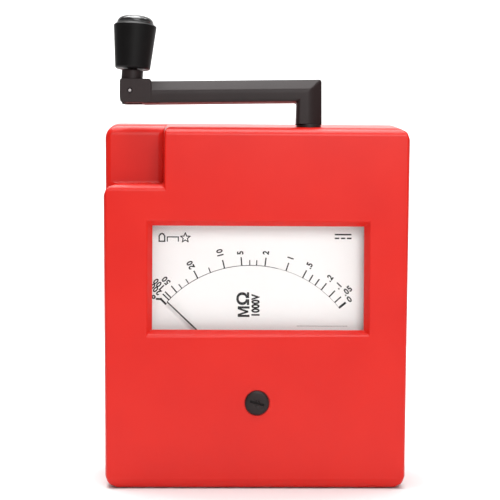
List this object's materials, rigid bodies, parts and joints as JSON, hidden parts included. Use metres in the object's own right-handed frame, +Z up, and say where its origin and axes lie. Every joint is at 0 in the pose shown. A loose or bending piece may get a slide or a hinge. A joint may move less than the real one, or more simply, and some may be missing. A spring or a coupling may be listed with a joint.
{
  "type": "insulation resistance tester",
  "caption": "Upright moulded case with an analogue megohm dial behind a bevelled window, a zero adjuster, and a folding hand crank on top that drives the generator inside.",
  "frame": {"origin": "centre of the bounding box's bottom face, under the middle of the case", "axes": "+Z up along the crank shaft, +X to the right of someone facing the dial, dial facing -Y"},
  "size_m": [0.1556, 0.082, 0.2371],
  "materials": {
    "case_red": "satin moulded",
    "crank_black": "satin moulded",
    "black_plastic": "moulded",
    "gloss_black": "glossy",
    "rubber": "matt",
    "steel": "zinc plated",
    "brass": "turned",
    "iron": "sintered",
    "copper": "enamelled wire",
    "window": "clear",
    "dial_white": "printed white enamel",
    "board": "fibreglass",
    "capacitor_blue": "sleeved"
  },
  "bodies": {
    "case": {"front_case": "case_red", "rear_case": "case_red", "line_socket": "case_red", "meter_frame": "black_plastic", "rectifier_block": "black_plastic", "earth_socket": "black_plastic", "foot_1": "rubber", "foot_2": "rubber", "foot_3": "rubber", "foot_4": "rubber", "case_screw_1": "steel", "case_screw_2": "steel", "case_screw_3": "steel", "case_screw_4": "steel", "dial_screw_left": "steel", "dial_screw_right": "steel", "gear_plate_lower": "steel", "gear_plate_upper": "steel", "generator_cap_lower": "steel", "generator_cap_upper": "steel", "crank_bush": "brass", "bridge_front": "brass", "bridge_rear": "brass", "movement_post_left": "brass", "movement_post_right": "brass", "line_contact": "brass", "earth_contact": "brass", "yoke_ring": "iron", "core_magnet": "iron", "stator_core": "iron", "stator_coil_1": "copper", "stator_coil_2": "copper", "stator_coil_3": "copper", "stator_coil_4": "copper", "dial_window": "window", "dial_plate": "dial_white", "circuit_board": "board", "capacitor_1": "capacitor_blue", "capacitor_2": "capacitor_blue", "capacitor_3": "capacitor_blue"},
    "crank": {"crank_arm": "crank_black", "crank_shaft": "steel", "drive_gear": "brass", "fold_pin": "steel"},
    "idler": {"idler_gear": "brass", "idler_arbor": "steel"},
    "rotor": {"rotor_shaft": "steel", "rotor_magnet": "iron", "rotor_pinion": "brass"},
    "spindle": {"knob_spindle": "crank_black"},
    "knob": {"crank_knob": "crank_black", "knob_cap": "gloss_black"},
    "needle": {"pointer": "gloss_black", "moving_coil": "copper", "hairspring_front": "brass", "hairspring_rear": "brass"},
    "adjuster": {"zero_adjust_screw": "black_plastic"},
    "lever": {"zero_lever": "brass"}
  },
  "joints": [
    {"name": "crank_turn", "type": "hinge", "parent": "case", "child": "crank", "pos_m": [0.0264, -0.0285, 0.181], "axis": [0, 0, 1], "continuous": true},
    {"name": "idler_spin", "type": "hinge", "parent": "case", "child": "idler", "pos_m": [0.02309, -0.01696, 0.155], "axis": [0, 0, 1], "continuous": true},
    {"name": "rotor_spin", "type": "hinge", "parent": "case", "child": "rotor", "pos_m": [0.01079, 0.00127, 0.11], "axis": [0, 0, 1], "continuous": true},
    {"name": "knob_fold", "type": "hinge", "parent": "crank", "child": "spindle", "pos_m": [-0.0637, -0.0285, 0.1986], "axis": [0, -1, 0], "range_deg": [0, 183]},
    {"name": "knob_spin", "type": "hinge", "parent": "spindle", "child": "knob", "pos_m": [-0.06335, -0.0285, 0.19858], "axis": [0.0558, 0, 0.9984], "continuous": true},
    {"name": "pointer_swing", "type": "hinge", "parent": "case", "child": "needle", "pos_m": [-0.0027, -0.03, 0.0529], "axis": [0, 1, 0], "range_deg": [0, 97.5], "stiffness_Nm_per_rad": 0.0004},
    {"name": "zero_adjust", "type": "hinge", "parent": "case", "child": "adjuster", "pos_m": [0.0006, -0.038, 0.0427], "axis": [0, 1, 0], "range_deg": [-30, 30]},
    {"name": "zero_shift", "type": "hinge", "parent": "case", "child": "lever", "pos_m": [-0.0027, -0.035, 0.0529], "axis": [0, 1, 0], "range_deg": [-8, 8]}
  ],
  "couplings": [
    {"joint": "idler_spin", "follows": "crank_turn", "ratio": -1.5},
    {"joint": "rotor_spin", "follows": "crank_turn", "ratio": 6},
    {"joint": "zero_shift", "follows": "zero_adjust", "ratio": -0.16121}
  ]
}
